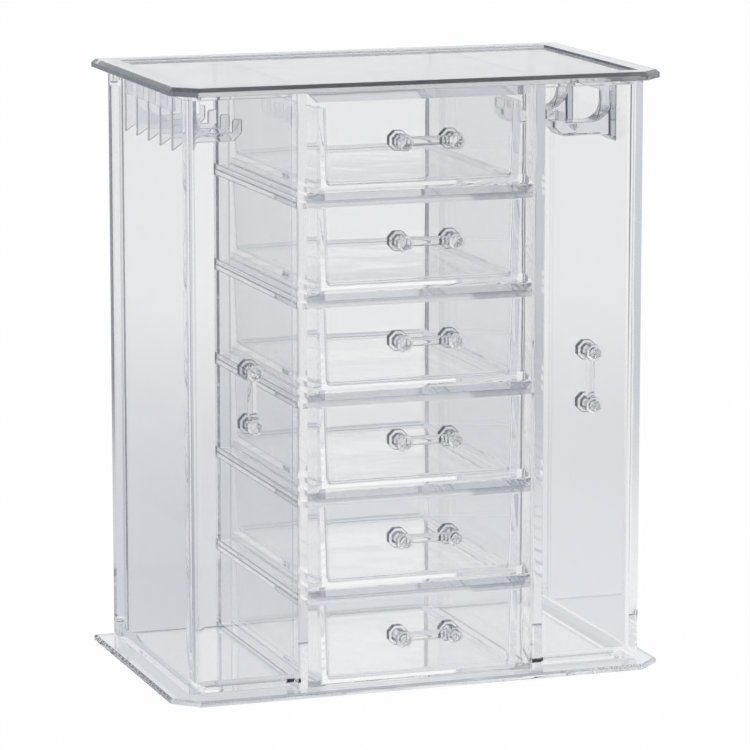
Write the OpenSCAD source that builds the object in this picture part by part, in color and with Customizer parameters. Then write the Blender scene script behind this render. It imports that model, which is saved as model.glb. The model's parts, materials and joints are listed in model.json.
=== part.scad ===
// Clear acrylic jewellery organizer: six drawers stacked between two side compartments.
// Each compartment is closed by an L-shaped door that swings on pins at its back corner
// and carries a rack: necklace hooks on the left, broad bracelet hooks on the right.
// Millimetres, +Z up, front towards -Y.
// The origin is the centre of the base plate's underside.

/* [Overall] */
// Width of the base plate
base_w = 280; // [260:1:340]
// Depth of the base plate
base_d = 166; // [140:1:220]
// Height from the base plate's underside to the top plate's rim
overall_h = 330; // [290:1:380]

/* [Plates] */
// Thickness of the base plate
base_t = 3; // [2.5:0.1:6]
// Cut across each front corner of the base plate
base_clip = 13; // [5:0.5:16]
// Bevel round the base plate's upper edge
base_bevel = 1; // [0.4:0.1:2]
// How far the top plate's sides stand inside the base plate's
top_inset_x = 2; // [0:0.5:6]
// How far the top plate's front and back stand inside the base plate's
top_inset_y = 0.5; // [0:0.5:4]
// Thickness of the top plate at its rim
top_t = 4.6; // [4:0.1:8]
// Cut across each front corner of the top plate
top_clip = 12; // [5:0.5:16]
// Bevel round the top plate's upper edge
top_bevel = 2; // [0.5:0.1:3]
// Width of the raised rim round the top plate
rim_w = 12.5; // [8:0.5:20]
// Depth of the tray inside the rim
rim_h = 1.5; // [0.5:0.1:2]

/* [Cabinet] */
// Base plate left showing beside each door
side_ledge = 11; // [5:0.5:15]
// Clear width between the two partitions
bay_w = 129; // [110:1:140]
// Thickness of each partition
partition_t = 5.5; // [4:0.1:7]
// Thickness of the back panel
back_t = 3; // [2:0.1:5]
// Base plate left showing in front of the drawer column
front_ledge = 8; // [4:0.5:14]
// Base plate left showing behind the back panel
back_ledge = 3.5; // [2:0.5:10]

/* [Shelves and runners] */
// Thickness of each shelf
shelf_t = 3; // [2:0.1:4]
// Depth of the groove in a partition that holds a shelf
shelf_seat = 1.5; // [0.5:0.1:2.5]
// Height of a runner above its shelf
runner_h = 6.6; // [5:0.1:8]
// How far a runner reaches under a drawer's side
runner_bearing = 2.6; // [1.5:0.1:6]
// Height of a runner's foot, beside its rib
runner_foot_h = 3; // [1.5:0.1:4]
// Height of the rib that stiffens a runner, above the foot
runner_rib_h = 0.8; // [0.4:0.1:1.5]
// Thickness of that rib
runner_rib_t = 1.5; // [1:0.1:2.5]
// Depth of the rails in the back corners, which keep a drawer straight
rail_d = 5.5; // [3:0.1:8]

/* [Drawers] */
// Room for the runners between a partition and a drawer's tray
runner_room = 7.5; // [5:0.1:12]
// Thickness of the tray's sides and back
tray_wall = 2.8; // [2:0.1:4]
// Thickness of the tray's floor
tray_floor = 2; // [1.5:0.1:4]
// Height of a tray's foot above its front's foot
tray_lift = 1.4; // [0.5:0.1:2]
// How far a tray's sides and back lean in from its top to its foot
tray_draft = 1.4; // [0.5:0.1:2.5]
// Radius of the corners at the back of a tray
tray_corner = 4; // [3:0.1:8]
// Radius inside a tray, round its floor and up its corners
tray_fillet = 3; // [1:0.1:5]
// Thickness of a drawer front
front_t = 4; // [3.4:0.1:6]
// Width of the bevelled frame on a drawer front
front_bevel_w = 5; // [2:0.1:7]
// Depth of the bevelled frame on a drawer front
front_bevel_d = 2; // [0.5:0.1:2.5]

/* [Doors] */
// Thickness of the door panels
door_t = 3; // [2.5:0.1:4]
// How far the door fronts stand behind the drawer fronts
door_set_back = 6; // [3:0.5:9]
// Radius of the fillet inside the corner between the two panels
door_fillet = 6; // [3:0.5:9]
// Width of the lips that turn in at the top and the bottom of a door
lip_w = 8; // [7:0.5:12]
// Height of the bottom lip where it meets the panel
lip_h = 6.4; // [6:0.1:9]
// Height of the bottom lip at its free edge
lip_edge_h = 1.5; // [1:0.1:3]
// Distance from a knuckle to the end of the lips beside it
lip_stop = 2.6; // [2:0.1:5]
// Thickness of the top lip
top_lip_t = 3; // [2:0.1:5]
// How far a knuckle stays inside its door's outer face
knuckle_inset = 0.25; // [0.1:0.05:1]
// How far the rib along a door's hinge edge reaches in past the hinge axis
rib_reach = 3; // [1:0.1:3.2]
// Distance from the back panel's outer face to the hinge axis
hinge_back = 2.5; // [2:0.1:4]
// Door panel left behind the hinge axis
door_tail = 3.4; // [2:0.1:3.6]
// Diameter of a hinge pin
pin_d = 5; // [3:0.1:6]
// How far a hinge pin stands out of its knuckle
pin_stand = 2.2; // [0.5:0.1:5]
// Depth of a hinge pin's seat in its plate
pin_seat = 1.8; // [1:0.1:2]
// Height of the dome on a hinge pin
pin_dome = 1; // [0.5:0.1:1.4]
// Wall of a door's knuckle round its pin
knuckle_wall = 1.85; // [1.2:0.05:3]

/* [Handles] */
// Distance between a handle's two knobs
handle_span = 29; // [22:0.5:40]
// Size across the flats of a knob's foot
foot_size = 10.8; // [9.5:0.1:14]
// Thickness of a knob's foot
foot_t = 4; // [2:0.1:5]
// Size across the flats of a knob's neck
neck_size = 7.6; // [6:0.1:9]
// Size across the flats of a knob's head
head_size = 8.8; // [7:0.1:12]
// Thickness of a knob's head
head_t = 4; // [2.5:0.1:6]
// Width of the bevel round a knob's face
head_bevel = 1.4; // [0.5:0.1:2]
// Distance from a door's free edge to the middle of its handle
handle_edge = 25.5; // [15:0.5:40]
// Distance a handle stands out from its panel
handle_reach = 16; // [14:0.5:22]
// Diameter of the bar between the knobs
bar_d = 5; // [3:0.1:6]
// Clear finger gap between the bar and the panel
finger_gap = 6; // [5:0.1:7]
// Diameter of the peg that fixes a knob in its panel
peg_d = 4; // [2.5:0.1:5]

/* [Racks] */
// Reach of a hook from the door panel to its tip
hook_reach = 36; // [30:0.5:42]
// Height of the foot of a hook's wall below the arm
hook_foot = 4; // [2:0.5:6]
// How far the foot of a hook's wall runs in under the arm
hook_foot_run = 6; // [3:0.5:10]
// Cut across the outer corner of a hook
hook_chamfer = 4.5; // [2:0.1:5]
// Thickness of the strip that joins the hooks
rack_t = 2; // [1.5:0.1:3]
// Height of the strip that joins the hooks
rack_h = 8; // [5:0.5:12]

/* [Necklace hooks] */
// Distance between two hooks
hook_pitch = 22.5; // [15:0.5:24]
// Distance from the back panel to the middle of the rearmost hook
hook_rear = 27.5; // [20:0.5:40]
// Thickness of a hook
hook_t = 3; // [2:0.1:4]
// Height of a hook from its foot to the top lip
hook_h = 29; // [27:0.5:40]
// Height of a hook's arm below its slot
hook_arm = 4.6; // [3:0.1:6]
// Height of a hook's tip above its slot
hook_tip_h = 7.2; // [5:0.1:9]
// Width of a hook's tip
hook_tip_w = 5; // [3:0.1:7]
// Width of a hook's wall along the panel
hook_wall = 5.5; // [4:0.1:8]
// Radius of the slot where it rises to the wall
hook_curve = 14; // [8:0.5:15]

/* [Bracelet hooks] */
// Distance between two broad hooks
broad_pitch = 64; // [40:0.5:70]
// Distance from the back panel to the middle of the rearmost broad hook
broad_rear = 42.5; // [34:0.5:50]
// Thickness of a broad hook
broad_t = 16; // [10:0.5:20]
// Height of a broad hook from its foot to the top lip
broad_h = 34.5; // [30:0.5:45]
// Height of a broad hook's arm below its slot
broad_arm = 7.4; // [5:0.1:9]
// Height of a broad hook's tip above its slot
broad_tip_h = 6.2; // [4:0.1:9]
// Width of a broad hook's tip
broad_tip_w = 5.6; // [4:0.1:8]
// Width of a broad hook's wall along the panel
broad_wall = 4.4; // [3.5:0.1:8]
// Radius of a broad hook's slot where it rises to the wall
broad_curve = 10; // [6:0.5:14]

/* [Catches] */
// Diameter of a catch magnet
magnet_d = 3.2; // [2:0.1:3.6]
// Length of a catch magnet
magnet_l = 3.4; // [2:0.1:4]
// Distance from a door's front face to its magnet's axis
catch_in = 4.1; // [3.6:0.1:4.4]
// Height of a magnet's axis above the door's foot
catch_up = 2.6; // [2.4:0.1:2.8]

/* [Clearances] */
// Gap between two drawer fronts, and between a front and a plate
front_gap = 0.8; // [0.4:0.1:1.5]
// Running gap under a drawer
slide_gap = 0.3; // [0.2:0.05:0.5]
// Gap at the sides of a drawer
side_gap = 0.5; // [0.3:0.1:1]
// Gap between a shelf and what passes it
shelf_gap = 0.6; // [0.4:0.1:1]
// Gap between a drawer's tray and the back panel
tray_gap = 1.2; // [0.5:0.1:3]
// Gap between a drawer's tray and the rails beside it
rail_gap = 1; // [0.5:0.1:2]
// Gap above and below a door
door_gap = 0.6; // [0.4:0.1:1]
// Gap between a door's free edge and its partition
door_edge_gap = 0.6; // [0.4:0.1:1]
// Gap between a door's knuckle and the back panel
knuckle_gap = 0.4; // [0.3:0.1:1]
// Radial play of a hinge pin in its knuckle
pin_play = 0.06; // [0.02:0.01:0.1]
// Radial play of a peg, a pin or a magnet in its seat
seat_play = 0.04; // [0.02:0.01:0.1]

/* [Hidden] */

$fn = 48;
clear_acrylic = [0.84, 0.87, 0.90, 0.45];
magnet_grey = [0.16, 0.16, 0.17];
drawer_count = 6;
hook_count = 5;
broad_count = 2;
// extra length that lets a cut pass right through
past = 1;
// overlap that joins two shapes into one solid
weld = 0.5;
// thickness of the slices that a leaning wall is spread between
slice = 0.1;

// Levels
clear_h = overall_h - base_t - top_t;
ceiling_z = base_t + clear_h;
lowest_gap_z = base_t + slide_gap - front_gap / 2;
highest_gap_z = ceiling_z - front_gap / 2;
drawer_pitch = (highest_gap_z - lowest_gap_z) / drawer_count;
// level of the gap under a drawer's front, with 0 for the gap above the first drawer
function gap_z(level) = highest_gap_z - level * drawer_pitch;
function front_foot_z(number) = gap_z(number) + front_gap / 2;
// level that a drawer's tray slides on, and the top of the shelf that carries its runners
function slide_z(number) = front_foot_z(number) + tray_lift - slide_gap;
function shelf_top_z(number) = slide_z(number) - runner_h;
// level that a drawer's runners stand on: its shelf, or the base plate for the lowest drawer
function runner_foot_z(number) = number < drawer_count ? shelf_top_z(number) : base_t;

// Depths
column_front_y = -base_d / 2 + front_ledge;
front_back_y = column_front_y + front_t;
back_outer_y = base_d / 2 - back_ledge;
back_inner_y = back_outer_y - back_t;
shelf_front_y = front_back_y + shelf_gap;
tray_back_y = back_inner_y - tray_gap;
door_front_y = column_front_y + door_set_back;
hinge_y = back_outer_y - hinge_back;

// Widths
top_w = base_w - 2 * top_inset_x;
top_d = base_d - 2 * top_inset_y;
bay_x = bay_w / 2;
partition_x = bay_x + partition_t;
door_x = base_w / 2 - side_ledge;
knuckle_r = pin_d / 2 + knuckle_wall;
hinge_inset = knuckle_r + knuckle_inset;
hinge_x = door_x - hinge_inset;
back_x = hinge_x - knuckle_r - knuckle_gap;
front_w = bay_w - 2 * side_gap;
tray_x = bay_x - runner_room;
tray_foot_x = tray_x - tray_draft;
rail_x = tray_x + rail_gap;
door_w = door_x - partition_x - door_edge_gap;
door_d = hinge_y + door_tail - door_front_y;
door_bottom_z = base_t + door_gap;
door_top_z = ceiling_z - door_gap;
knuckle_h = lip_h;
// height that a pin takes up in its door
pin_room = knuckle_h + pin_stand + door_gap;
// the side lips stop here, so that the door clears the back panel as it swings
lip_end_y = hinge_y - knuckle_r - lip_stop;
lip_top_z = door_top_z - top_lip_t;

// Handles and catches
bar_out = finger_gap + bar_d / 2;
door_handle_x = door_x - door_w + handle_edge;
door_handle_z = (door_bottom_z + door_top_z) / 2;
catch_y = door_front_y + catch_in;
catch_z = door_bottom_z + catch_up;

// circle round an octagon of the given size across its flats
function octagon_r(size) = size / 2 / cos(22.5);

// outline of a plate with its two front corners cut across
function plate_outline(w, d, clip) = [
    [-w / 2, -d / 2 + clip], [-w / 2 + clip, -d / 2], [w / 2 - clip, -d / 2],
    [w / 2, -d / 2 + clip], [w / 2, d / 2], [-w / 2, d / 2]];

// plate whose upper edge is bevelled all round
module bevelled_plate(points, t, bevel) {
    count = len(points);
    difference() {
        linear_extrude(t) polygon(points);
        for (i = [0 : count - 1]) {
            from = points[i];
            along = points[(i + 1) % count] - from;
            translate([from[0], from[1], t])
                rotate([0, 0, atan2(along[1], along[0])])
                    translate([norm(along) / 2, 0, 0])
                        rotate([45, 0, 0])
                            cube([norm(along) * 2, bevel * sqrt(2), bevel * sqrt(2)], center = true);
        }
    }
}

// a left and right pair of the same shape
module both_sides() {
    children();
    mirror([1, 0, 0]) children();
}

module pin_seats(z) {
    both_sides()
        translate([hinge_x, hinge_y, z]) cylinder(d = pin_d + 2 * seat_play, h = pin_seat + past);
}

module base_plate() {
    color(clear_acrylic)
        difference() {
            bevelled_plate(plate_outline(base_w, base_d, base_clip), base_t, base_bevel);
            pin_seats(base_t - pin_seat);
        }
}

module top_plate() {
    tray_front_y = -top_d / 2 + rim_w;
    color(clear_acrylic)
        difference() {
            translate([0, 0, ceiling_z])
                bevelled_plate(plate_outline(top_w, top_d, top_clip), top_t, top_bevel);
            translate([-top_w / 2 + rim_w, tray_front_y, ceiling_z + top_t - rim_h])
                cube([top_w - 2 * rim_w, top_d - 2 * rim_w, rim_h + past]);
            pin_seats(ceiling_z - past);
        }
}

// partition on the right, with a rail beside each drawer's back corner, a groove for each shelf
// and a seat for its magnet
module partition() {
    color(clear_acrylic)
        difference() {
            union() {
                translate([bay_x, column_front_y, base_t])
                    cube([partition_t, back_inner_y - column_front_y, clear_h]);
                for (number = [1 : drawer_count]) {
                    foot_z = runner_foot_z(number) + runner_foot_h;
                    head_z = number > 1 ? shelf_top_z(number - 1) - shelf_t : ceiling_z;
                    translate([rail_x, back_inner_y - rail_d, foot_z])
                        cube([bay_x - rail_x + weld, rail_d, head_z - shelf_gap - foot_z]);
                }
            }
            for (level = [1 : drawer_count - 1])
                translate([bay_x - past, shelf_front_y, shelf_top_z(level) - shelf_t])
                    cube([shelf_seat + past, back_inner_y - shelf_front_y + past, shelf_t]);
            translate([partition_x - magnet_l, catch_y, catch_z])
                rotate([0, 90, 0]) cylinder(d = magnet_d + 2 * seat_play, h = magnet_l + past);
        }
}

module left_partition() mirror([1, 0, 0]) partition();
module right_partition() partition();

module back_panel() {
    color(clear_acrylic)
        translate([-back_x, back_inner_y, base_t]) cube([2 * back_x, back_t, clear_h]);
}

// shelf under the drawer of the given number
module shelf(number) {
    half = bay_x + shelf_seat;
    color(clear_acrylic)
        translate([-half, shelf_front_y, shelf_top_z(number) - shelf_t])
            cube([2 * half, back_inner_y - shelf_front_y, shelf_t]);
}

// runners on the right: each has a foot beside the partition, a low rib along the foot and a
// bearing strip under the tray's side
module runners() {
    bearing_x = tray_foot_x - runner_bearing;
    rib_x = tray_foot_x + side_gap;
    length = back_inner_y - shelf_front_y;
    color(clear_acrylic)
        for (number = [1 : drawer_count]) {
            foot_z = runner_foot_z(number);
            translate([rib_x, shelf_front_y, foot_z]) {
                cube([bay_x - rib_x, length, runner_foot_h]);
                cube([runner_rib_t, length, runner_foot_h + runner_rib_h]);
            }
            translate([bearing_x, shelf_front_y, foot_z])
                cube([rib_x - bearing_x + weld, length, slide_z(number) - foot_z]);
        }
}

module left_runners() mirror([1, 0, 0]) runners();
module right_runners() runners();

// drawer front with a bevelled frame, its back face at y = 0 and its foot at z = 0
module bevelled_front(w, h) {
    edge_t = front_t - front_bevel_d;
    intersection() {
        linear_extrude(h)
            polygon([[-w / 2, 0], [-w / 2, -edge_t], [-w / 2 + front_bevel_w, -front_t],
                     [w / 2 - front_bevel_w, -front_t], [w / 2, -edge_t], [w / 2, 0]]);
        translate([-w / 2, 0, 0]) rotate([90, 0, 90])
            linear_extrude(w)
                polygon([[0, 0], [-edge_t, 0], [-front_t, front_bevel_w],
                         [-front_t, h - front_bevel_w], [-edge_t, h], [0, h]]);
    }
}

module drawer(number) {
    foot_z = front_foot_z(number);
    front_h = drawer_pitch - front_gap;
    tray_top_z = shelf_top_z(number - 1) - shelf_t - shelf_gap;
    tray_h = tray_top_z - foot_z - tray_lift;
    color(clear_acrylic)
        difference() {
            translate([0, front_back_y, foot_z])
                difference() {
                    union() {
                        bevelled_front(front_w, front_h);
                        translate([0, 0, tray_lift]) tray_body(tray_h);
                    }
                    translate([0, 0, tray_lift]) tray_hollow(tray_h);
                }
            drawer_handle_place(number) peg_holes(front_t);
        }
}

// tray that leans in towards its foot, from the drawer front's back face at y = 0
module tray_body(h) {
    depth = tray_back_y - front_back_y;
    hull()
        for (level = [[0, tray_draft], [h - slice, 0]])
            translate([0, 0, level[0]]) {
                half = tray_x - level[1];
                translate([-half, -weld, 0]) cube([2 * half, weld, slice]);
                for (side = [-1, 1])
                    translate([side * (half - tray_corner), depth - level[1] - tray_corner, 0])
                        cylinder(r = tray_corner, h = slice, $fn = 32);
            }
}

// room inside a tray, round at its corners and along its floor
module tray_hollow(h) {
    depth = tray_back_y - front_back_y;
    floor_lean = tray_draft * (1 - tray_floor / h);
    hull()
        for (side = [-1, 1], back = [0, 1]) {
            inset = tray_wall + tray_fillet;
            translate([side * (tray_x - floor_lean - inset),
                       back ? depth - floor_lean - inset : tray_fillet, tray_floor + tray_fillet])
                sphere(tray_fillet, $fn = 32);
            translate([side * (tray_x - inset), back ? depth - inset : tray_fillet, h])
                cylinder(r = tray_fillet, h = past, $fn = 32);
        }
}

// handle along X on a panel whose face is at y = 0, standing out towards -Y
module handle(panel_t) {
    color(clear_acrylic) {
        for (side = [-1, 1])
            translate([side * handle_span / 2, 0, 0]) rotate([90, 0, 0]) {
                knob();
                translate([0, 0, -panel_t]) cylinder(d = peg_d, h = panel_t + weld);
            }
        translate([-handle_span / 2, -bar_out, 0]) rotate([0, 90, 0]) cylinder(d = bar_d, h = handle_span);
    }
}

// octagonal knob that stands along +Z: a foot, a neck and a head with a round face
module knob() {
    face_d = head_size - 2 * head_bevel;
    rotate([0, 0, 22.5]) {
        cylinder(r = octagon_r(foot_size), h = foot_t, $fn = 8);
        cylinder(r = octagon_r(neck_size), h = handle_reach - head_t + weld, $fn = 8);
        translate([0, 0, handle_reach - head_t])
            intersection() {
                cylinder(r = octagon_r(head_size), h = head_t, $fn = 8);
                cylinder(d1 = face_d + 2 * head_t, d2 = face_d, h = head_t);
            }
    }
}

module peg_holes(panel_t) {
    for (side = [-1, 1])
        translate([side * handle_span / 2, panel_t + past, 0]) rotate([90, 0, 0])
            cylinder(d = peg_d + 2 * seat_play, h = panel_t + 2 * past);
}

module drawer_handle_place(number) {
    translate([0, column_front_y, gap_z(number) + drawer_pitch / 2]) children();
}

module door_handle_place() {
    translate([door_handle_x, door_front_y, door_handle_z]) rotate([0, 90, 0]) children();
}

// section of a lip that turns in from a panel, which ends at u = 0
module lip_section(w) {
    polygon([[-weld, 0], [w, 0], [w, lip_edge_h], [0, lip_h], [-weld, lip_h]]);
}

// door on the right, closed
module door() {
    color(clear_acrylic)
        difference() {
            union() {
                door_panels();
                door_bottom_lip();
                door_top_lip();
                door_knuckle(door_bottom_z);
                door_knuckle(door_top_z - knuckle_h);
                door_rib();
            }
            for (z = [door_bottom_z - past, door_top_z - pin_room])
                translate([hinge_x, hinge_y, z])
                    cylinder(d = pin_d + 2 * pin_play, h = pin_room + past);
            door_handle_place() peg_holes(door_t);
            translate([partition_x, catch_y, catch_z])
                rotate([0, 90, 0]) cylinder(d = magnet_d + 2 * seat_play, h = door_edge_gap + magnet_l);
        }
}

// front panel and side panel in one piece, with a fillet inside their corner
module door_panels() {
    inner_x = door_x - door_t;
    inner_y = door_front_y + door_t;
    translate([0, 0, door_bottom_z]) linear_extrude(door_top_z - door_bottom_z) {
        translate([door_x - door_w, door_front_y]) square([door_w, door_t]);
        translate([inner_x, door_front_y]) square([door_t, door_d]);
        difference() {
            translate([inner_x - door_fillet, inner_y - weld]) square([door_fillet + weld, door_fillet + weld]);
            translate([inner_x - door_fillet, inner_y + door_fillet]) circle(door_fillet);
        }
    }
}

module door_bottom_lip() {
    inner_x = door_x - door_t;
    inner_y = door_front_y + door_t;
    translate([door_x - door_w, inner_y, door_bottom_z]) rotate([90, 0, 90])
        linear_extrude(door_w - weld) lip_section(lip_w);
    translate([inner_x, lip_end_y, door_bottom_z]) rotate([90, 0, 0])
        mirror([1, 0, 0]) linear_extrude(lip_end_y - door_front_y - weld) lip_section(lip_w);
}

module door_top_lip() {
    inner_x = door_x - door_t;
    inner_y = door_front_y + door_t;
    translate([door_x - door_w, inner_y - weld, lip_top_z]) cube([door_w - weld, lip_w + weld, top_lip_t]);
    translate([inner_x - lip_w, inner_y - weld, lip_top_z])
        cube([lip_w + weld, lip_end_y - inner_y + weld, top_lip_t]);
}

// round boss for a hinge pin, joined to the side panel and to its lip
module door_knuckle(z) {
    translate([hinge_x, hinge_y, z]) cylinder(r = knuckle_r, h = knuckle_h);
    translate([hinge_x, lip_end_y - weld, z]) cube([hinge_inset - weld, hinge_y - lip_end_y + weld, knuckle_h]);
}

// rib that stiffens the side panel's hinge edge between the two pins
module door_rib() {
    inner_x = hinge_x - rib_reach;
    foot_z = door_bottom_z + pin_room + door_gap;
    head_z = door_top_z - pin_room - door_gap;
    translate([inner_x, hinge_y - door_tail, foot_z])
        cube([door_x - inner_x, 2 * door_tail, head_z - foot_z]);
}

module left_door() mirror([1, 0, 0]) door();
module right_door() door();

// pins on the right: one stands up from the base plate, one hangs from the top plate
module hinge_pins() {
    above = door_gap + knuckle_h + pin_stand;
    color(clear_acrylic) {
        translate([hinge_x, hinge_y, base_t - pin_seat]) round_pin(pin_seat + above);
        translate([hinge_x, hinge_y, ceiling_z + pin_seat]) mirror([0, 0, 1]) round_pin(pin_seat + above);
    }
}

// pin with a domed end
module round_pin(length) {
    dome_r = (pow(pin_d / 2, 2) + pow(pin_dome, 2)) / (2 * pin_dome);
    intersection() {
        cylinder(d = pin_d, h = length);
        translate([0, 0, length - dome_r]) union() {
            sphere(dome_r);
            translate([0, 0, -length]) cylinder(d = pin_d + past, h = length);
        }
    }
}

module left_hinge_pins() mirror([1, 0, 0]) hinge_pins();
module right_hinge_pins() hinge_pins();

// magnet in the side of the right partition
module post_magnet() {
    color(magnet_grey)
        translate([partition_x - magnet_l, catch_y, catch_z]) rotate([0, 90, 0])
            cylinder(d = magnet_d, h = magnet_l);
}

// magnet in the free edge of the right door
module door_magnet() {
    color(magnet_grey)
        translate([partition_x + door_edge_gap, catch_y, catch_z]) rotate([0, 90, 0])
            cylinder(d = magnet_d, h = magnet_l);
}

module left_post_magnet() mirror([1, 0, 0]) post_magnet();
module right_post_magnet() post_magnet();
module left_door_magnet() mirror([1, 0, 0]) door_magnet();
module right_door_magnet() door_magnet();

module right_door_handle() door_handle_place() handle(door_t);
module left_door_handle() mirror([1, 0, 0]) right_door_handle();

// outline of one hook: u runs in from the door panel and v up from the hook's foot
module hook_outline(h, arm, tip_h, tip_w, wall, curve) {
    slot_z = hook_foot + arm;
    tip_z = slot_z + tip_h;
    slot_w = hook_reach - tip_w - wall;
    difference() {
        polygon([[0, 0], [hook_foot_run, hook_foot], [hook_reach - hook_chamfer, hook_foot],
                 [hook_reach, hook_foot + hook_chamfer], [hook_reach, tip_z], [hook_reach - tip_w, tip_z],
                 [wall + curve, h], [0, h]]);
        translate([wall, slot_z]) {
            translate([curve, 0]) square([slot_w - curve, h]);
            translate([0, curve]) square([slot_w, h]);
            translate([curve, curve]) circle(curve);
        }
    }
}

// rack on the right door: a strip under the top lip with a row of hooks cut from the outline
module rack(count, pitch, rear, t, h) {
    panel_x = door_x - door_t;
    back_y = back_inner_y - rear + t / 2;
    strip_l = (count - 1) * pitch + t;
    color(clear_acrylic) {
        for (i = [0 : count - 1])
            translate([panel_x, back_y - i * pitch, lip_top_z - h])
                rotate([90, 0, 0]) mirror([1, 0, 0]) linear_extrude(t) children();
        translate([panel_x - rack_t, back_y - strip_l, lip_top_z - rack_h]) cube([rack_t, strip_l, rack_h]);
    }
}

module left_hook_rack() {
    mirror([1, 0, 0]) rack(hook_count, hook_pitch, hook_rear, hook_t, hook_h)
        hook_outline(hook_h, hook_arm, hook_tip_h, hook_tip_w, hook_wall, hook_curve);
}

module right_hook_rack() {
    rack(broad_count, broad_pitch, broad_rear, broad_t, broad_h)
        hook_outline(broad_h, broad_arm, broad_tip_h, broad_tip_w, broad_wall, broad_curve);
}

module drawer_handle(number) drawer_handle_place(number) handle(front_t);

base_plate();
top_plate();
left_partition();
right_partition();
back_panel();
shelf(1);  // shelf_1
shelf(2);  // shelf_2
shelf(3);  // shelf_3
shelf(4);  // shelf_4
shelf(5);  // shelf_5
left_runners();
right_runners();
left_hinge_pins();
right_hinge_pins();
left_post_magnet();
right_post_magnet();
drawer(1);  // drawer_1
drawer(2);  // drawer_2
drawer(3);  // drawer_3
drawer(4);  // drawer_4
drawer(5);  // drawer_5
drawer(6);  // drawer_6
drawer_handle(1);  // drawer_handle_1
drawer_handle(2);  // drawer_handle_2
drawer_handle(3);  // drawer_handle_3
drawer_handle(4);  // drawer_handle_4
drawer_handle(5);  // drawer_handle_5
drawer_handle(6);  // drawer_handle_6
left_door();
left_door_handle();
left_hook_rack();
left_door_magnet();
right_door();
right_door_handle();
right_hook_rack();
right_door_magnet();
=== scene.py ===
import json
import math

import bpy
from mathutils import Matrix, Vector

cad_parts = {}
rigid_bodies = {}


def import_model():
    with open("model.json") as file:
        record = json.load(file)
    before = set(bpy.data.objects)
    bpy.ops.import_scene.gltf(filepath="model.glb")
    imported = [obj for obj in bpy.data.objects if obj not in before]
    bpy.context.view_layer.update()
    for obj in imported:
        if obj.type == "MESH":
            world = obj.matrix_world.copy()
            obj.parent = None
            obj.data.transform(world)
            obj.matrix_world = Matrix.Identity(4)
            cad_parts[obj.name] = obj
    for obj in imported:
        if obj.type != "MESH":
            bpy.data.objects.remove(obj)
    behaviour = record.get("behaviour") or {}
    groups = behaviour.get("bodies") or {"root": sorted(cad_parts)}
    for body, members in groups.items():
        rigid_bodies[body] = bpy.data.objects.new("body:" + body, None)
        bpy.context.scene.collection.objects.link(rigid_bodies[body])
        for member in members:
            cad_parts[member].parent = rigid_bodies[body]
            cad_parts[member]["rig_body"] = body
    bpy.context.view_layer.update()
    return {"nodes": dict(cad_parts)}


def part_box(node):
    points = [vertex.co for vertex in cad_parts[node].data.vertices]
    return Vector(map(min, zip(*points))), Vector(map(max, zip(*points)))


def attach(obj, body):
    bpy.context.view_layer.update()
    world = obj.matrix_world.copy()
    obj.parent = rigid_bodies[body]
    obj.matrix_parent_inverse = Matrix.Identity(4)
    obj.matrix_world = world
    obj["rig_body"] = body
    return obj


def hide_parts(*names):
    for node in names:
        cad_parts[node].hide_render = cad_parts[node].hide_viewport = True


mm = 0.001

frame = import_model()
cadNodes = frame["nodes"]
scene = bpy.context.scene
scene.view_settings.view_transform = "Standard"
print("frame loaded:", len(cadNodes), "nodes")


# camera: placed where the photograph was taken from, long lens and no shift
cameraSettings = {
    "place": (-0.7619, -2.2000, 0.5786),
    "pitchDown": 10.24,
    "turnRight": 19.09,
    "lens": 205.6,
    "sensor": 36.0,
    "clipEnd": 50.0,
}


def addCamera(s):
    cameraData = bpy.data.cameras.new("photoCamera")
    cameraData.lens = s["lens"]
    cameraData.sensor_width = s["sensor"]
    cameraData.clip_end = s["clipEnd"]
    camera = bpy.data.objects.new("photoCamera", cameraData)
    camera.location = s["place"]
    camera.rotation_euler = (math.radians(90 - s["pitchDown"]), 0, math.radians(-s["turnRight"]))
    scene.collection.objects.link(camera)
    scene.camera = camera


addCamera(cameraSettings)
print("camera placed")


def hexToLinear(code):
    channels = [int(code[i:i + 2], 16) / 255 for i in (1, 3, 5)]
    linear = [c / 12.92 if c <= 0.04045 else ((c + 0.055) / 1.055) ** 2.4 for c in channels]
    return (*linear, 1)


# adds a node; inputs hold plain values or the sockets that feed them
def addNode(tree, kind, inputs=None, **settings):
    node = tree.nodes.new(kind)
    for name, value in settings.items():
        setattr(node, name, value)
    for name, value in (inputs or {}).items():
        socket = node.inputs[name]
        if isinstance(name, str):
            socket = next(i for i in node.inputs if i.enabled and i.name == name)
        if isinstance(value, bpy.types.NodeSocket):
            tree.links.new(value, socket)
        else:
            socket.default_value = value
    return node


def newTree(owner):
    owner.use_nodes = True
    owner.node_tree.nodes.clear()
    return owner.node_tree


# studio: white to the camera; what shows through the acrylic is a pale sweep, darker near the object with
# a painted shadow, and the grey left side and the unlit front of the room show only where the acrylic
# mirrors them
studioSettings = {
    "white": "#FFFFFF",
    "horizon": "#FFFFFF",
    "overhead": "#B4BAC2",
    "brightUntil": 0.30,
    "overheadFrom": 0.62,
    # darker near the object: painted shadow
    "sweepNearPaintedShadow": "#DADDE2",
    "sweepFar": "#FBFBFC",
    "nearRadius": 0.15,
    "farRadius": 1.4,
    "mirrored": "#F0F1F3",
    "room": "#565C66",
    "roomNear": -0.20,
    "roomFar": -0.80,
    "side": "#D2D5DA",
    # darker near the object: painted shadow
    "sideLowPaintedShadow": "#A6ACB5",
    "sideNear": 0.15,
    "sideFar": -0.35,
    "floorColour": "#FFFFFF",
    "floorRadius": 9.0,
    "floorSides": 96,
    "floorDrop": 0.3 * mm,
    "shadowKept": 0.02,
    "bounces": 64,
}


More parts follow.
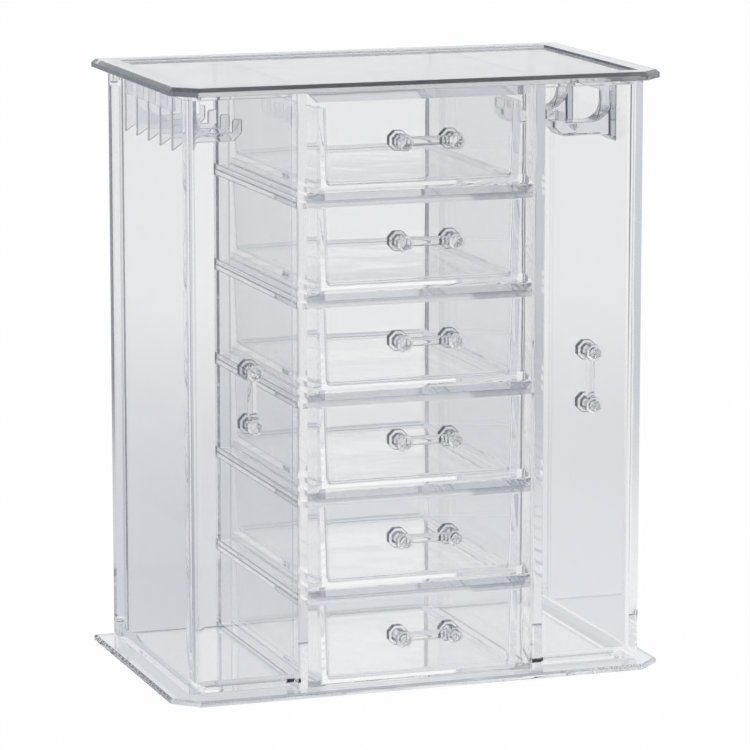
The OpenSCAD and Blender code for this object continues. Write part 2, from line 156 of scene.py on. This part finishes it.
def addWorld(s):
    world = bpy.data.worlds.new("studio")
    scene.world = world
    tree = newTree(world)
    rays = addNode(tree, "ShaderNodeLightPath")
    place = addNode(tree, "ShaderNodeTexCoord")
    split = addNode(tree, "ShaderNodeSeparateXYZ", {0: place.outputs["Generated"]})
    height = addNode(tree, "ShaderNodeMapRange", {
        "Value": split.outputs["Z"], "From Min": s["brightUntil"], "From Max": s["overheadFrom"]},
        interpolation_type="SMOOTHSTEP")
    sky = addNode(tree, "ShaderNodeMix", {
        "Factor": height.outputs[0], "A": hexToLinear(s["horizon"]), "B": hexToLinear(s["overhead"])},
        data_type="RGBA")
    left = addNode(tree, "ShaderNodeMapRange", {
        "Value": split.outputs["X"], "From Min": s["sideNear"], "From Max": s["sideFar"]},
        interpolation_type="SMOOTHSTEP")
    walls = addNode(tree, "ShaderNodeMix", {
        "Factor": left.outputs[0], "A": sky.outputs[2], "B": hexToLinear(s["side"])}, data_type="RGBA")
    front = addNode(tree, "ShaderNodeMapRange", {
        "Value": split.outputs["Y"], "From Min": s["roomNear"], "From Max": s["roomFar"]},
        interpolation_type="SMOOTHSTEP")
    dark = addNode(tree, "ShaderNodeMix", {
        "Factor": front.outputs[0], "A": walls.outputs[2], "B": hexToLinear(s["room"])}, data_type="RGBA")
    around = addNode(tree, "ShaderNodeBackground", {"Color": dark.outputs[2]})
    white = addNode(tree, "ShaderNodeBackground", {"Color": hexToLinear(s["white"])})
    mix = addNode(tree, "ShaderNodeMixShader", {
        0: rays.outputs["Is Camera Ray"], 1: around.outputs[0], 2: white.outputs[0]})
    addNode(tree, "ShaderNodeOutputWorld", {"Surface": mix.outputs[0]})


def addFloor(s):
    bpy.ops.object.select_all(action="DESELECT")
    bpy.ops.mesh.primitive_circle_add(vertices=s["floorSides"], radius=s["floorRadius"],
                                      fill_type="NGON", location=(0, 0, -s["floorDrop"]))
    floor = bpy.context.object
    floor.name = "studioFloor"
    material = bpy.data.materials.new("white paper sweep")
    tree = newTree(material)
    rays = addNode(tree, "ShaderNodeLightPath")
    place = addNode(tree, "ShaderNodeNewGeometry")
    distance = addNode(tree, "ShaderNodeVectorMath", {0: place.outputs["Position"]}, operation="LENGTH")
    # the sweep, and the grey side below, darken towards the object: painted shadow
    reach = addNode(tree, "ShaderNodeMapRange", {
        "Value": distance.outputs["Value"], "From Min": s["nearRadius"], "From Max": s["farRadius"]},
        interpolation_type="SMOOTHSTEP")
    sweep = addNode(tree, "ShaderNodeMix", {
        "Factor": reach.outputs[0], "A": hexToLinear(s["sweepNearPaintedShadow"]), "B": hexToLinear(s["sweepFar"])},
        data_type="RGBA")
    spot = addNode(tree, "ShaderNodeSeparateXYZ", {0: place.outputs["Position"]})
    left = addNode(tree, "ShaderNodeMapRange", {
        "Value": spot.outputs["X"], "From Min": s["sideNear"], "From Max": s["sideFar"]},
        interpolation_type="SMOOTHSTEP")
    side = addNode(tree, "ShaderNodeMix", {
        "Factor": reach.outputs[0], "A": hexToLinear(s["sideLowPaintedShadow"]), "B": hexToLinear(s["side"])},
        data_type="RGBA")
    walls = addNode(tree, "ShaderNodeMix", {
        "Factor": left.outputs[0], "A": hexToLinear(s["mirrored"]), "B": side.outputs[2]},
        data_type="RGBA")
    front = addNode(tree, "ShaderNodeMapRange", {
        "Value": spot.outputs["Y"], "From Min": s["roomNear"], "From Max": s["roomFar"]},
        interpolation_type="SMOOTHSTEP")
    mirrored = addNode(tree, "ShaderNodeMix", {
        "Factor": front.outputs[0], "A": walls.outputs[2], "B": hexToLinear(s["room"])},
        data_type="RGBA")
    isMirrored = addNode(tree, "ShaderNodeMath", {0: rays.outputs["Glossy Depth"], 1: 0.5},
                         operation="GREATER_THAN")
    shown = addNode(tree, "ShaderNodeMix", {
        "Factor": isMirrored.outputs[0], "A": sweep.outputs[2], "B": mirrored.outputs[2]},
        data_type="RGBA")
    through = addNode(tree, "ShaderNodeEmission", {"Color": shown.outputs[2]})
    paper = addNode(tree, "ShaderNodeBsdfDiffuse", {"Color": hexToLinear(s["floorColour"])})
    white = addNode(tree, "ShaderNodeEmission", {"Color": hexToLinear(s["white"])})
    seen = addNode(tree, "ShaderNodeMixShader", {
        0: 1 - s["shadowKept"], 1: paper.outputs[0], 2: white.outputs[0]})
    mix = addNode(tree, "ShaderNodeMixShader", {
        0: rays.outputs["Is Camera Ray"], 1: through.outputs[0], 2: seen.outputs[0]})
    addNode(tree, "ShaderNodeOutputMaterial", {"Surface": mix.outputs[0]})
    floor.data.materials.append(material)


addWorld(studioSettings)
addFloor(studioSettings)
scene.cycles.max_bounces = studioSettings["bounces"]
scene.cycles.transmission_bounces = studioSettings["bounces"]
scene.cycles.glossy_bounces = studioSettings["bounces"]
print("studio set")


# polymethyl methacrylate, injection moulded and polished: glass clear, with the slow waviness of a
# moulding and a faint haze where it has been handled
acrylicSettings = {
    "colour": "#FEFEFE", "clarity": 1.0, "ior": 1.49,
    "waveLength": 34 * mm, "waveHeight": 0.05 * mm, "waveDetail": 1.0,
    "polished": 0.0, "hazy": 0.05, "hazeFrom": 0.5, "hazeFull": 0.8,
}
# the rounded edges of the mouldings: worn a little dull; their slate colour is painted shade, standing in
# for the dark of the room that real edges gather into fine lines
paintedShadeArrisSettings = {
    **acrylicSettings, "colour": "#5E6778", "clarity": 0.6,
    "waveLength": 3 * mm, "waveHeight": 0.01 * mm, "polished": 0.08, "hazy": 0.2,
}
# the lid's sawn side edges, and the hooks where they stand against a door: satin, with a slate colour
# that is painted shade, standing in for the dark that shows as the light runs along them
paintedShadeSawnEdgeSettings = {
    **acrylicSettings, "colour": "#7E8591", "clarity": 0.45,
    "waveLength": 2 * mm, "waveHeight": 0.02 * mm, "polished": 0.2, "hazy": 0.35,
}
# bevels of the lid, sides of the base and fronts of the shelves: polished less than the broad faces, and
# tinted grey with painted shade, so they stay grey against the light
paintedShadeBevelSettings = {
    **acrylicSettings, "colour": "#E4E7EC", "clarity": 0.9,
    "waveLength": 2 * mm, "waveHeight": 0.01 * mm, "polished": 0.12, "hazy": 0.22,
}
# the top face of the lid: a fine satin that things have been set down on, even and milky
satinSettings = {
    **acrylicSettings, "colour": "#F2F2F4", "clarity": 0.5,
    "waveLength": 12 * mm, "waveHeight": 0.01 * mm, "polished": 0.04, "hazy": 0.1,
}
# the drawers' acrylic: moulded thinner, and so a little more wavy
drawerAcrylicSettings = {**acrylicSettings, "waveLength": 26 * mm, "waveHeight": 0.1 * mm}
# the racks' acrylic: thicker in section, so a little greyer
rackAcrylicSettings = {**acrylicSettings, "colour": "#F2F3F6"}
# the upper bevel of a drawer front: it bends the light down to the shadow, and the grey it shows is
# painted shade in its colour
shadedBevelSettings = {**acrylicSettings, "colour": "#D4D8DE"}
# a solvent weld: the two pieces are melted into one another, so light crosses it almost unbent; it is
# also used on a few free faces that would otherwise show as hard bright or black bars
weldSettings = {
    **acrylicSettings, "colour": "#FFFFFF", "ior": 1.001,
    "waveLength": 8 * mm, "waveHeight": 0.01 * mm, "hazy": 0.03,
}


def makeAcrylic(name, s):
    material = bpy.data.materials.new(name)
    tree = newTree(material)
    place = addNode(tree, "ShaderNodeTexCoord")
    waves = addNode(tree, "ShaderNodeTexNoise", {
        "Vector": place.outputs["Object"], "Scale": 1 / s["waveLength"], "Detail": s["waveDetail"]})
    wavy = addNode(tree, "ShaderNodeBump", {
        "Height": waves.outputs[0], "Distance": s["waveHeight"], "Strength": 1.0})
    dull = addNode(tree, "ShaderNodeMapRange", {
        "Value": waves.outputs[0], "From Min": s["hazeFrom"], "From Max": s["hazeFull"],
        "To Min": s["polished"], "To Max": s["hazy"]})
    shader = addNode(tree, "ShaderNodeBsdfPrincipled", {
        "Base Color": hexToLinear(s["colour"]), "Roughness": dull.outputs[0], "IOR": s["ior"],
        "Transmission Weight": s["clarity"], "Normal": wavy.outputs[0]})
    addNode(tree, "ShaderNodeOutputMaterial", {"Surface": shader.outputs[0]})
    return material


# neodymium disc with a dark nickel plating: metal, smooth but slightly dull, with fine specks
platingSettings = {
    "colour": "#2E2F33", "speckColour": "#4A4C52",
    "speckSize": 0.6 * mm, "speckHeight": 0.005 * mm, "speckDetail": 2.0,
    "smooth": 0.28, "dull": 0.45,
}


def makeMagnetPlating(name, s):
    material = bpy.data.materials.new(name)
    tree = newTree(material)
    place = addNode(tree, "ShaderNodeTexCoord")
    specks = addNode(tree, "ShaderNodeTexNoise", {
        "Vector": place.outputs["Object"], "Scale": 1 / s["speckSize"], "Detail": s["speckDetail"]})
    colour = addNode(tree, "ShaderNodeMix", {
        "Factor": specks.outputs[0], "A": hexToLinear(s["colour"]), "B": hexToLinear(s["speckColour"])},
        data_type="RGBA")
    dull = addNode(tree, "ShaderNodeMapRange", {
        "Value": specks.outputs[0], "To Min": s["smooth"], "To Max": s["dull"]})
    pitted = addNode(tree, "ShaderNodeBump", {
        "Height": specks.outputs[0], "Distance": s["speckHeight"], "Strength": 1.0})
    shader = addNode(tree, "ShaderNodeBsdfPrincipled", {
        "Base Color": colour.outputs[2], "Metallic": 1.0, "Roughness": dull.outputs[0],
        "Normal": pitted.outputs[0]})
    addNode(tree, "ShaderNodeOutputMaterial", {"Surface": shader.outputs[0]})
    return material


acrylic = makeAcrylic("clear moulded acrylic", acrylicSettings)
drawerAcrylic = makeAcrylic("thin wavy moulded acrylic", drawerAcrylicSettings)
shadedBevel = makeAcrylic("shaded acrylic bevel", shadedBevelSettings)
rackAcrylic = makeAcrylic("thick moulded acrylic", rackAcrylicSettings)
paintedShadeArris = makeAcrylic("acrylic arris", paintedShadeArrisSettings)
paintedShadeSawnEdge = makeAcrylic("sawn acrylic edge", paintedShadeSawnEdgeSettings)
paintedShadeBevelled = makeAcrylic("bevelled acrylic edge", paintedShadeBevelSettings)
satin = makeAcrylic("satin acrylic face", satinSettings)
weld = makeAcrylic("solvent weld", weldSettings)
plating = makeMagnetPlating("dark nickel plating", platingSettings)
print("materials made")


# what all pieces share; angles are in degrees, facing is how nearly a face has to look along an axis,
# and skin is how near a side of its piece it has to lie
basics = {
    "finishes": (acrylic, paintedShadeArris, weld),
    "edgeFinish": paintedShadeArris,
    "edgeRadius": 0.42 * mm,
    "edgeSegments": 2,
    "airGap": 0.02 * mm,
    "mergeWithin": 0.001 * mm,
    "flatWithin": 0.3,
    "sharpFrom": 20,
    "smoothBelow": 40,
    "facing": 0.9,
    "skin": 0.3 * mm,
    "recordSlot": "clear_acrylic",
}


# a moulded piece: a copy of its solid with every edge rounded, and a hair of air left round it
def mouldPiece(nodeName, s):
    source = cadNodes[nodeName]
    piece = bpy.data.objects.new(nodeName + "_moulding", source.data.copy())
    scene.collection.objects.link(piece)
    piece.data.materials.clear()
    for material in s["finishes"]:
        piece.data.materials.append(material)
    piece.data.polygons.foreach_set("material_index", [0] * len(piece.data.polygons))
    edgeSlot = piece.data.materials.find(s["edgeFinish"].name)
    bpy.ops.object.select_all(action="DESELECT")
    piece.select_set(True)
    bpy.context.view_layer.objects.active = piece
    bpy.ops.mesh.customdata_custom_splitnormals_clear()
    bpy.ops.object.mode_set(mode="EDIT")
    bpy.ops.mesh.select_all(action="SELECT")
    bpy.ops.mesh.remove_doubles(threshold=s["mergeWithin"])
    bpy.ops.mesh.dissolve_limited(angle_limit=math.radians(s["flatWithin"]))
    bpy.ops.transform.shrink_fatten(value=-s["airGap"])
    bpy.ops.mesh.select_all(action="DESELECT")
    bpy.ops.mesh.select_mode(type="EDGE")
    bpy.ops.mesh.edges_select_sharp(sharpness=math.radians(s["sharpFrom"]))
    # the rounded edges take the edge finish, for most pieces the slate edge finish with its painted shade
    bpy.ops.mesh.bevel(offset=s["edgeRadius"], segments=s["edgeSegments"], clamp_overlap=True,
                       material=edgeSlot)
    bpy.ops.mesh.select_all(action="SELECT")
    bpy.ops.mesh.vert_connect_concave()
    bpy.ops.object.mode_set(mode="OBJECT")
    bpy.ops.object.shade_smooth_by_angle(angle=math.radians(s["smoothBelow"]))
    weighted = piece.modifiers.new("flatFaces", "WEIGHTED_NORMAL")
    weighted.keep_sharp = True
    bpy.ops.object.modifier_apply(modifier="flatFaces")
    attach(piece, source["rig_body"])
    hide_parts(nodeName)
    return piece


# gives a finish to the faces whose direction and centre pass a test
def finishWhere(piece, finish, test):
    slot = piece.data.materials.find(finish.name)
    for face in piece.data.polygons:
        if test(face.normal, face.center):
            face.material_index = slot


# takes the slate edge finish, painted shade, off all edges but those at a piece's sides
def softenInnerEdges(piece, s):
    side = max(abs(v.co.x) for v in piece.data.vertices)
    slateShadeSlot = piece.data.materials.find(paintedShadeArris.name)
    for face in piece.data.polygons:
        if face.material_index == slateShadeSlot and abs(face.center.x) < side - s["crispEdge"]:
            face.material_index = 0


# base plate: its sides and cut corners take the lid's bevel finish, grey with painted shade
baseSettings = {**basics, "finishes": (acrylic, paintedShadeArris, paintedShadeBevelled), "sideTurn": 0.3}


def mouldBase(s):
    piece = mouldPiece("base_plate", s)
    finishWhere(piece, paintedShadeBevelled, lambda normal, centre: abs(normal.z) < s["facing"]
                and abs(normal.x) > s["sideTurn"])


mouldBase(baseSettings)
print("base plate moulded")

# top plate: satin above, clear below, with the bevel finish's painted grey shade round its rim, and sawn
# sides and cut corners in painted slate shade
topSettings = {
    **basics, "finishes": (acrylic, paintedShadeArris, paintedShadeSawnEdge, satin, paintedShadeBevelled),
    "sideTurn": 0.6, "upright": 0.3, "sideDepth": 14 * mm,
}


def mouldTop(s):
    piece = mouldPiece("top_plate", s)
    low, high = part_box("top_plate")
    middleZ = (low.z + high.z) / 2
    sideX = high.x - s["sideDepth"]
    finishWhere(piece, paintedShadeBevelled, lambda normal, centre: abs(normal.z) < s["facing"]
                and centre.z > middleZ)
    finishWhere(piece, paintedShadeSawnEdge, lambda normal, centre: abs(normal.x) > s["sideTurn"]
                and abs(normal.z) < s["upright"] and abs(centre.x) > sideX)
    finishWhere(piece, satin, lambda normal, centre: normal.z > s["facing"] and centre.z > middleZ)


mouldTop(topSettings)
print("top plate moulded")

# back panel and partitions: welded to the plates above and below
panelSettings = {**basics}
panelNodes = ["back_panel", "left_partition", "right_partition"]


def mouldPanel(nodeName, s):
    piece = mouldPiece(nodeName, s)
    low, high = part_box(nodeName)
    finishWhere(piece, weld, lambda normal, centre: normal.z < -s["facing"]
                and centre.z < low.z + s["skin"])
    finishWhere(piece, weld, lambda normal, centre: normal.z > s["facing"]
                and centre.z > high.z - s["skin"])


for nodeName in panelNodes:
    mouldPanel(nodeName, panelSettings)
print("panels moulded:", len(panelNodes))

# shelves and runners: crisp along their sides in the slate edge finish's painted shade, dulled in front
# with the bevel finish's painted grey shade, and welded to the back panel
shelfSettings = {
    **basics, "finishes": (acrylic, paintedShadeArris, weld, paintedShadeBevelled),
    "crispEdge": 0.6 * mm, "frontDepth": 0.5 * mm,
}
shelfNodes = [name for name in cadNodes if name.startswith("shelf_")]
shelfNodes += ["left_runners", "right_runners"]


def mouldShelf(nodeName, s):
    piece = mouldPiece(nodeName, s)
    softenInnerEdges(piece, s)
    low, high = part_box(nodeName)
    finishWhere(piece, paintedShadeBevelled, lambda normal, centre: centre.y < low.y + s["frontDepth"])
    finishWhere(piece, weld, lambda normal, centre: normal.y > s["facing"]
                and centre.y > high.y - s["skin"])


for nodeName in shelfNodes:
    mouldShelf(nodeName, shelfSettings)
print("shelves and runners moulded:", len(shelfNodes))

# drawers: only the upright outer edges and sides of their fronts are crisp, in the slate edge finish's
# painted shade, the fronts' upper bevels are grey with painted shade, and light leaves their backs unbent
drawerSettings = {
    **basics, "finishes": (drawerAcrylic, paintedShadeArris, weld, shadedBevel), "crispEdge": 0.5 * mm,
    "bevelTurnLow": 0.2, "bevelTurnHigh": 0.6, "bevelFront": 0.8, "backDepth": 2 * mm,
}
drawerNodes = [name for name in cadNodes if name.startswith("drawer_") and "handle" not in name]


def mouldDrawer(nodeName, s):
    piece = mouldPiece(nodeName, s)
    softenInnerEdges(piece, s)
    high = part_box(nodeName)[1]
    finishWhere(piece, shadedBevel, lambda normal, centre: normal.y < -s["bevelFront"]
                and s["bevelTurnLow"] < normal.z < s["bevelTurnHigh"])
    finishWhere(piece, paintedShadeArris, lambda normal, centre: abs(normal.x) > s["facing"]
                and abs(centre.x) > high.x - s["skin"])
    finishWhere(piece, weld, lambda normal, centre: normal.y > s["facing"]
                and centre.y > high.y - s["backDepth"])


for nodeName in drawerNodes:
    mouldDrawer(nodeName, drawerSettings)
print("drawers moulded:", len(drawerNodes))

# doors: light crosses from their feet into the base plate unbent, but for the front panel's foot
doorSettings = {**basics, "frontDepth": 12 * mm}
doorNodes = ["left_door", "right_door"]


def mouldDoor(nodeName, s):
    piece = mouldPiece(nodeName, s)
    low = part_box(nodeName)[0]
    finishWhere(piece, weld, lambda normal, centre: normal.z < -s["facing"]
                and centre.z < low.z + s["skin"] and centre.y > low.y + s["frontDepth"])


for nodeName in doorNodes:
    mouldDoor(nodeName, doorSettings)
print("doors moulded:", len(doorNodes))

# handles: the sides of their octagonal feet are dull, and dark with the slate edge finish's painted
# shade, but for those that look to the light; light enters the round faces of their heads unbent
handleSettings = {
    **basics, "edgeRadius": 0.3 * mm, "reach": 16 * mm, "footDepth": 4 * mm,
    "sideTurn": 0.3, "litTurn": 0.5,
}
handleNodes = [name for name in cadNodes if "handle" in name]


def mouldHandle(nodeName, s):
    piece = mouldPiece(nodeName, s)
    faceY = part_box(nodeName)[0].y
    panelY = faceY + s["reach"]
    footY = panelY - s["footDepth"]
    finishWhere(piece, paintedShadeArris, lambda normal, centre: abs(normal.y) < s["sideTurn"]
                and normal.x < s["litTurn"] and footY < centre.y < panelY)
    finishWhere(piece, weld, lambda normal, centre: normal.y < -s["facing"]
                and centre.y < faceY + s["skin"])


for nodeName in handleNodes:
    mouldHandle(nodeName, handleSettings)
print("handles moulded:", len(handleNodes))

# hook racks: well rounded edges, with painted slate shade only where each hook stands upright against its
# door
rackSettings = {
    **basics, "finishes": (rackAcrylic, paintedShadeSawnEdge), "edgeFinish": rackAcrylic,
    "edgeRadius": 0.7 * mm, "doorDepth": 0.8 * mm,
    "turnLow": 0.1, "turnHigh": 0.99, "upright": 0.2,
}
rackNodes = ["left_hook_rack", "right_hook_rack"]


def mouldRack(nodeName, s):
    piece = mouldPiece(nodeName, s)
    low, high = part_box(nodeName)
    doorX = max(-low.x, high.x) - s["doorDepth"]
    finishWhere(piece, paintedShadeSawnEdge, lambda normal, centre: s["turnLow"] < abs(normal.y) < s["turnHigh"]
                and abs(normal.z) < s["upright"] and abs(centre.x) > doorX)


for nodeName in rackNodes:
    mouldRack(nodeName, rackSettings)
print("hook racks moulded:", len(rackNodes))

# hinge pins: small, so only lightly rounded
pinSettings = {**basics, "edgeRadius": 0.3 * mm}
pinNodes = ["left_hinge_pins", "right_hinge_pins"]
for nodeName in pinNodes:
    mouldPiece(nodeName, pinSettings)
print("hinge pins moulded:", len(pinNodes))

# catch magnets: plated discs with a worn rim
magnetSettings = {
    **basics, "finishes": (plating,), "edgeFinish": plating,
    "edgeRadius": 0.2 * mm, "recordSlot": "magnet",
}
magnetNodes = [name for name in cadNodes if "magnet" in name]
for nodeName in magnetNodes:
    mouldPiece(nodeName, magnetSettings)
print("magnets plated:", len(magnetNodes))
